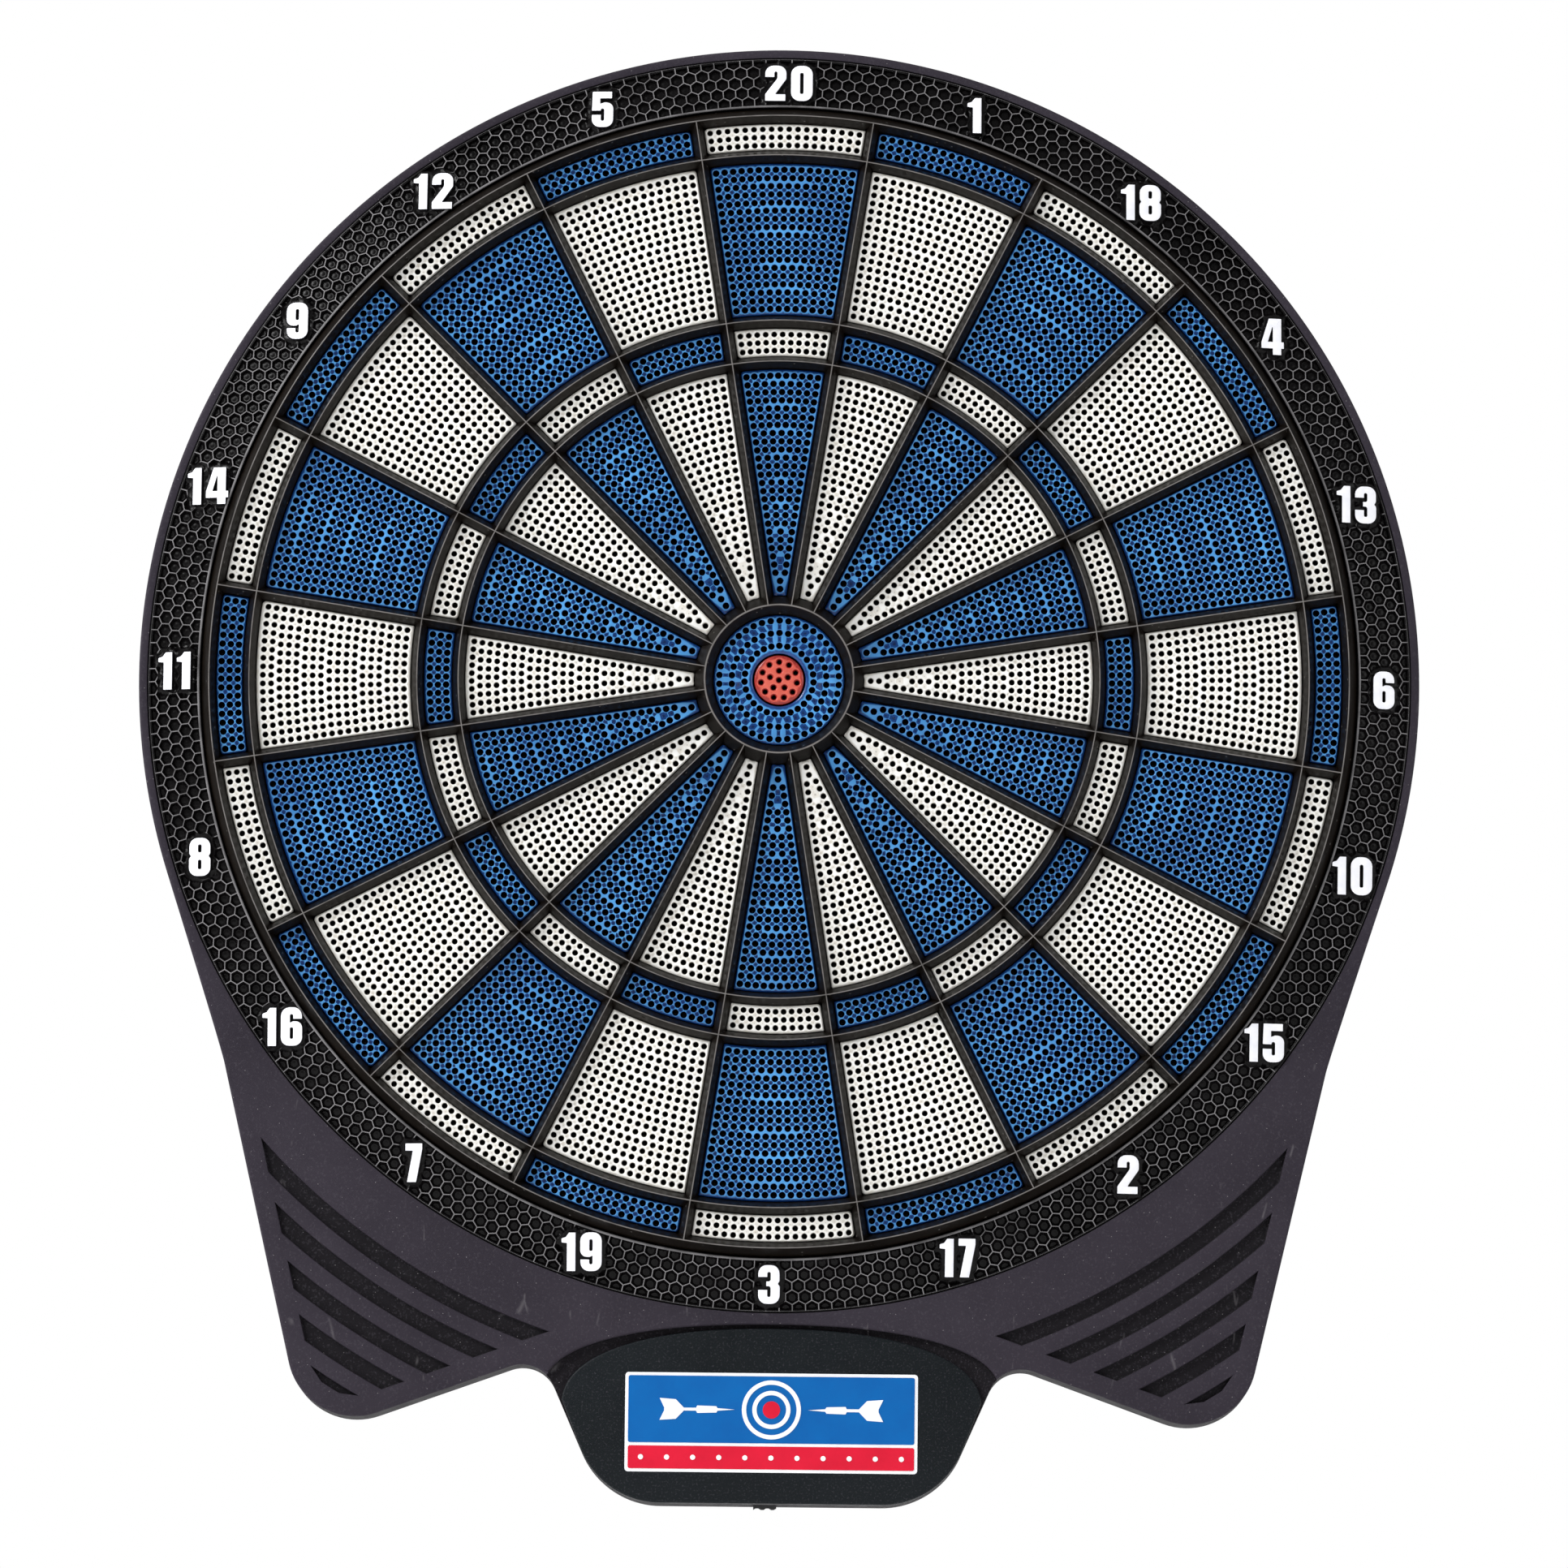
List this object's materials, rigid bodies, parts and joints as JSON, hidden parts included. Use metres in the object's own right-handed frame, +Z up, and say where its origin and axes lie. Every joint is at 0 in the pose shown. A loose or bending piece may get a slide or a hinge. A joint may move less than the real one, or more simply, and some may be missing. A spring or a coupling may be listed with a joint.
{
  "type": "electronic dartboard",
  "caption": "Wall-hung soft-tip dartboard: sprung perforated segments in a rib frame, a honeycomb number ring, and an apron with grooved wings and a badge tab.",
  "frame": {"origin": "on the wall plane, at the rear cover's back face, straight behind the centre of the bullseye", "axes": "+Z up as the board hangs, -Y out of the front towards the player, +X to the player's right"},
  "size_m": [0.445, 0.034, 0.5095],
  "materials": {
    "housing_plastic": "dark violet-grey ABS with a fine spark-eroded texture",
    "ring_plastic": "black, glossy honeycomb moulding",
    "spider_plastic": "black, semi-gloss ribs",
    "blue_plastic": "bright blue, satin",
    "white_plastic": "warm white, satin",
    "red_plastic": "bright red, satin",
    "badge_plastic": "smooth near-black with a slight sheen",
    "label_print": "printed film label in blue, white and red, without lettering",
    "mat_rubber": "black foam rubber sheet",
    "matrix_film": "translucent polyester film with printed silver tracks",
    "backing_plate": "dark grey board",
    "circuit_laminate": "green solder mask",
    "speaker_metal": "pressed steel basket",
    "cell_sleeve": "printed battery sleeve, no lettering",
    "contact_nickel": "nickel-plated spring steel",
    "switch_plastic": "red slide cap"
  },
  "bodies": {
    "board": {"front_housing": "housing_plastic", "rear_cover": "housing_plastic", "number_ring": "ring_plastic", "spider": "spider_plastic", "rubber_mat": "mat_rubber", "switch_matrix": "matrix_film", "backing_board": "backing_plate", "circuit_board": "circuit_laminate", "ribbon_cable": "matrix_film", "speaker": "speaker_metal", "battery_1": "cell_sleeve", "battery_2": "cell_sleeve", "battery_3": "cell_sleeve", "battery_contact_plate": "contact_nickel", "badge_panel": "badge_plastic", "badge_label": "label_print"},
    "battery_door": {"battery_door": "housing_plastic"},
    "power_switch": {"power_switch": "switch_plastic"},
    "bullseye": {"bullseye": "red_plastic"},
    "outer_bull": {"outer_bull": "blue_plastic"},
    "single_20": {"single_20": "blue_plastic"},
    "multiple_20": {"multiple_20": "white_plastic"},
    "single_01": {"single_01": "white_plastic"},
    "multiple_01": {"multiple_01": "blue_plastic"},
    "single_18": {"single_18": "blue_plastic"},
    "multiple_18": {"multiple_18": "white_plastic"},
    "single_04": {"single_04": "white_plastic"},
    "multiple_04": {"multiple_04": "blue_plastic"},
    "single_13": {"single_13": "blue_plastic"},
    "multiple_13": {"multiple_13": "white_plastic"},
    "single_06": {"single_06": "white_plastic"},
    "multiple_06": {"multiple_06": "blue_plastic"},
    "single_10": {"single_10": "blue_plastic"},
    "multiple_10": {"multiple_10": "white_plastic"},
    "single_15": {"single_15": "white_plastic"},
    "multiple_15": {"multiple_15": "blue_plastic"},
    "single_02": {"single_02": "blue_plastic"},
    "multiple_02": {"multiple_02": "white_plastic"},
    "single_17": {"single_17": "white_plastic"},
    "multiple_17": {"multiple_17": "blue_plastic"},
    "single_03": {"single_03": "blue_plastic"},
    "multiple_03": {"multiple_03": "white_plastic"},
    "single_19": {"single_19": "white_plastic"},
    "multiple_19": {"multiple_19": "blue_plastic"},
    "single_07": {"single_07": "blue_plastic"},
    "multiple_07": {"multiple_07": "white_plastic"},
    "single_16": {"single_16": "white_plastic"},
    "multiple_16": {"multiple_16": "blue_plastic"},
    "single_08": {"single_08": "blue_plastic"},
    "multiple_08": {"multiple_08": "white_plastic"},
    "single_11": {"single_11": "white_plastic"},
    "multiple_11": {"multiple_11": "blue_plastic"},
    "single_14": {"single_14": "blue_plastic"},
    "multiple_14": {"multiple_14": "white_plastic"},
    "single_09": {"single_09": "white_plastic"},
    "multiple_09": {"multiple_09": "blue_plastic"},
    "single_12": {"single_12": "blue_plastic"},
    "multiple_12": {"multiple_12": "white_plastic"},
    "single_05": {"single_05": "white_plastic"},
    "multiple_05": {"multiple_05": "blue_plastic"}
  },
  "joints": [
    {"name": "battery_door_lift", "type": "slide", "parent": "board", "child": "battery_door", "axis": [0, 1, 0], "range_m": [0, 0.02]},
    {"name": "power_switch_slide", "type": "slide", "parent": "board", "child": "power_switch", "axis": [1, 0, 0], "range_m": [0, 0.004]},
    {"name": "bullseye_press", "type": "slide", "parent": "board", "child": "bullseye", "axis": [0, 1, 0], "range_m": [0, 0.0012], "stiffness_N_per_m": 400},
    {"name": "outer_bull_press", "type": "slide", "parent": "board", "child": "outer_bull", "axis": [0, 1, 0], "range_m": [0, 0.0012], "stiffness_N_per_m": 400},
    {"name": "single_20_press", "type": "slide", "parent": "board", "child": "single_20", "axis": [0, 1, 0], "range_m": [0, 0.0012], "stiffness_N_per_m": 400},
    {"name": "multiple_20_press", "type": "slide", "parent": "board", "child": "multiple_20", "axis": [0, 1, 0], "range_m": [0, 0.0012], "stiffness_N_per_m": 400},
    {"name": "single_01_press", "type": "slide", "parent": "board", "child": "single_01", "axis": [0, 1, 0], "range_m": [0, 0.0012], "stiffness_N_per_m": 400},
    {"name": "multiple_01_press", "type": "slide", "parent": "board", "child": "multiple_01", "axis": [0, 1, 0], "range_m": [0, 0.0012], "stiffness_N_per_m": 400},
    {"name": "single_18_press", "type": "slide", "parent": "board", "child": "single_18", "axis": [0, 1, 0], "range_m": [0, 0.0012], "stiffness_N_per_m": 400},
    {"name": "multiple_18_press", "type": "slide", "parent": "board", "child": "multiple_18", "axis": [0, 1, 0], "range_m": [0, 0.0012], "stiffness_N_per_m": 400},
    {"name": "single_04_press", "type": "slide", "parent": "board", "child": "single_04", "axis": [0, 1, 0], "range_m": [0, 0.0012], "stiffness_N_per_m": 400},
    {"name": "multiple_04_press", "type": "slide", "parent": "board", "child": "multiple_04", "axis": [0, 1, 0], "range_m": [0, 0.0012], "stiffness_N_per_m": 400},
    {"name": "single_13_press", "type": "slide", "parent": "board", "child": "single_13", "axis": [0, 1, 0], "range_m": [0, 0.0012], "stiffness_N_per_m": 400},
    {"name": "multiple_13_press", "type": "slide", "parent": "board", "child": "multiple_13", "axis": [0, 1, 0], "range_m": [0, 0.0012], "stiffness_N_per_m": 400},
    {"name": "single_06_press", "type": "slide", "parent": "board", "child": "single_06", "axis": [0, 1, 0], "range_m": [0, 0.0012], "stiffness_N_per_m": 400},
    {"name": "multiple_06_press", "type": "slide", "parent": "board", "child": "multiple_06", "axis": [0, 1, 0], "range_m": [0, 0.0012], "stiffness_N_per_m": 400},
    {"name": "single_10_press", "type": "slide", "parent": "board", "child": "single_10", "axis": [0, 1, 0], "range_m": [0, 0.0012], "stiffness_N_per_m": 400},
    {"name": "multiple_10_press", "type": "slide", "parent": "board", "child": "multiple_10", "axis": [0, 1, 0], "range_m": [0, 0.0012], "stiffness_N_per_m": 400},
    {"name": "single_15_press", "type": "slide", "parent": "board", "child": "single_15", "axis": [0, 1, 0], "range_m": [0, 0.0012], "stiffness_N_per_m": 400},
    {"name": "multiple_15_press", "type": "slide", "parent": "board", "child": "multiple_15", "axis": [0, 1, 0], "range_m": [0, 0.0012], "stiffness_N_per_m": 400},
    {"name": "single_02_press", "type": "slide", "parent": "board", "child": "single_02", "axis": [0, 1, 0], "range_m": [0, 0.0012], "stiffness_N_per_m": 400},
    {"name": "multiple_02_press", "type": "slide", "parent": "board", "child": "multiple_02", "axis": [0, 1, 0], "range_m": [0, 0.0012], "stiffness_N_per_m": 400},
    {"name": "single_17_press", "type": "slide", "parent": "board", "child": "single_17", "axis": [0, 1, 0], "range_m": [0, 0.0012], "stiffness_N_per_m": 400},
    {"name": "multiple_17_press", "type": "slide", "parent": "board", "child": "multiple_17", "axis": [0, 1, 0], "range_m": [0, 0.0012], "stiffness_N_per_m": 400},
    {"name": "single_03_press", "type": "slide", "parent": "board", "child": "single_03", "axis": [0, 1, 0], "range_m": [0, 0.0012], "stiffness_N_per_m": 400},
    {"name": "multiple_03_press", "type": "slide", "parent": "board", "child": "multiple_03", "axis": [0, 1, 0], "range_m": [0, 0.0012], "stiffness_N_per_m": 400},
    {"name": "single_19_press", "type": "slide", "parent": "board", "child": "single_19", "axis": [0, 1, 0], "range_m": [0, 0.0012], "stiffness_N_per_m": 400},
    {"name": "multiple_19_press", "type": "slide", "parent": "board", "child": "multiple_19", "axis": [0, 1, 0], "range_m": [0, 0.0012], "stiffness_N_per_m": 400},
    {"name": "single_07_press", "type": "slide", "parent": "board", "child": "single_07", "axis": [0, 1, 0], "range_m": [0, 0.0012], "stiffness_N_per_m": 400},
    {"name": "multiple_07_press", "type": "slide", "parent": "board", "child": "multiple_07", "axis": [0, 1, 0], "range_m": [0, 0.0012], "stiffness_N_per_m": 400},
    {"name": "single_16_press", "type": "slide", "parent": "board", "child": "single_16", "axis": [0, 1, 0], "range_m": [0, 0.0012], "stiffness_N_per_m": 400},
    {"name": "multiple_16_press", "type": "slide", "parent": "board", "child": "multiple_16", "axis": [0, 1, 0], "range_m": [0, 0.0012], "stiffness_N_per_m": 400},
    {"name": "single_08_press", "type": "slide", "parent": "board", "child": "single_08", "axis": [0, 1, 0], "range_m": [0, 0.0012], "stiffness_N_per_m": 400},
    {"name": "multiple_08_press", "type": "slide", "parent": "board", "child": "multiple_08", "axis": [0, 1, 0], "range_m": [0, 0.0012], "stiffness_N_per_m": 400},
    {"name": "single_11_press", "type": "slide", "parent": "board", "child": "single_11", "axis": [0, 1, 0], "range_m": [0, 0.0012], "stiffness_N_per_m": 400},
    {"name": "multiple_11_press", "type": "slide", "parent": "board", "child": "multiple_11", "axis": [0, 1, 0], "range_m": [0, 0.0012], "stiffness_N_per_m": 400},
    {"name": "single_14_press", "type": "slide", "parent": "board", "child": "single_14", "axis": [0, 1, 0], "range_m": [0, 0.0012], "stiffness_N_per_m": 400},
    {"name": "multiple_14_press", "type": "slide", "parent": "board", "child": "multiple_14", "axis": [0, 1, 0], "range_m": [0, 0.0012], "stiffness_N_per_m": 400},
    {"name": "single_09_press", "type": "slide", "parent": "board", "child": "single_09", "axis": [0, 1, 0], "range_m": [0, 0.0012], "stiffness_N_per_m": 400},
    {"name": "multiple_09_press", "type": "slide", "parent": "board", "child": "multiple_09", "axis": [0, 1, 0], "range_m": [0, 0.0012], "stiffness_N_per_m": 400},
    {"name": "single_12_press", "type": "slide", "parent": "board", "child": "single_12", "axis": [0, 1, 0], "range_m": [0, 0.0012], "stiffness_N_per_m": 400},
    {"name": "multiple_12_press", "type": "slide", "parent": "board", "child": "multiple_12", "axis": [0, 1, 0], "range_m": [0, 0.0012], "stiffness_N_per_m": 400},
    {"name": "single_05_press", "type": "slide", "parent": "board", "child": "single_05", "axis": [0, 1, 0], "range_m": [0, 0.0012], "stiffness_N_per_m": 400},
    {"name": "multiple_05_press", "type": "slide", "parent": "board", "child": "multiple_05", "axis": [0, 1, 0], "range_m": [0, 0.0012], "stiffness_N_per_m": 400}
  ]
}
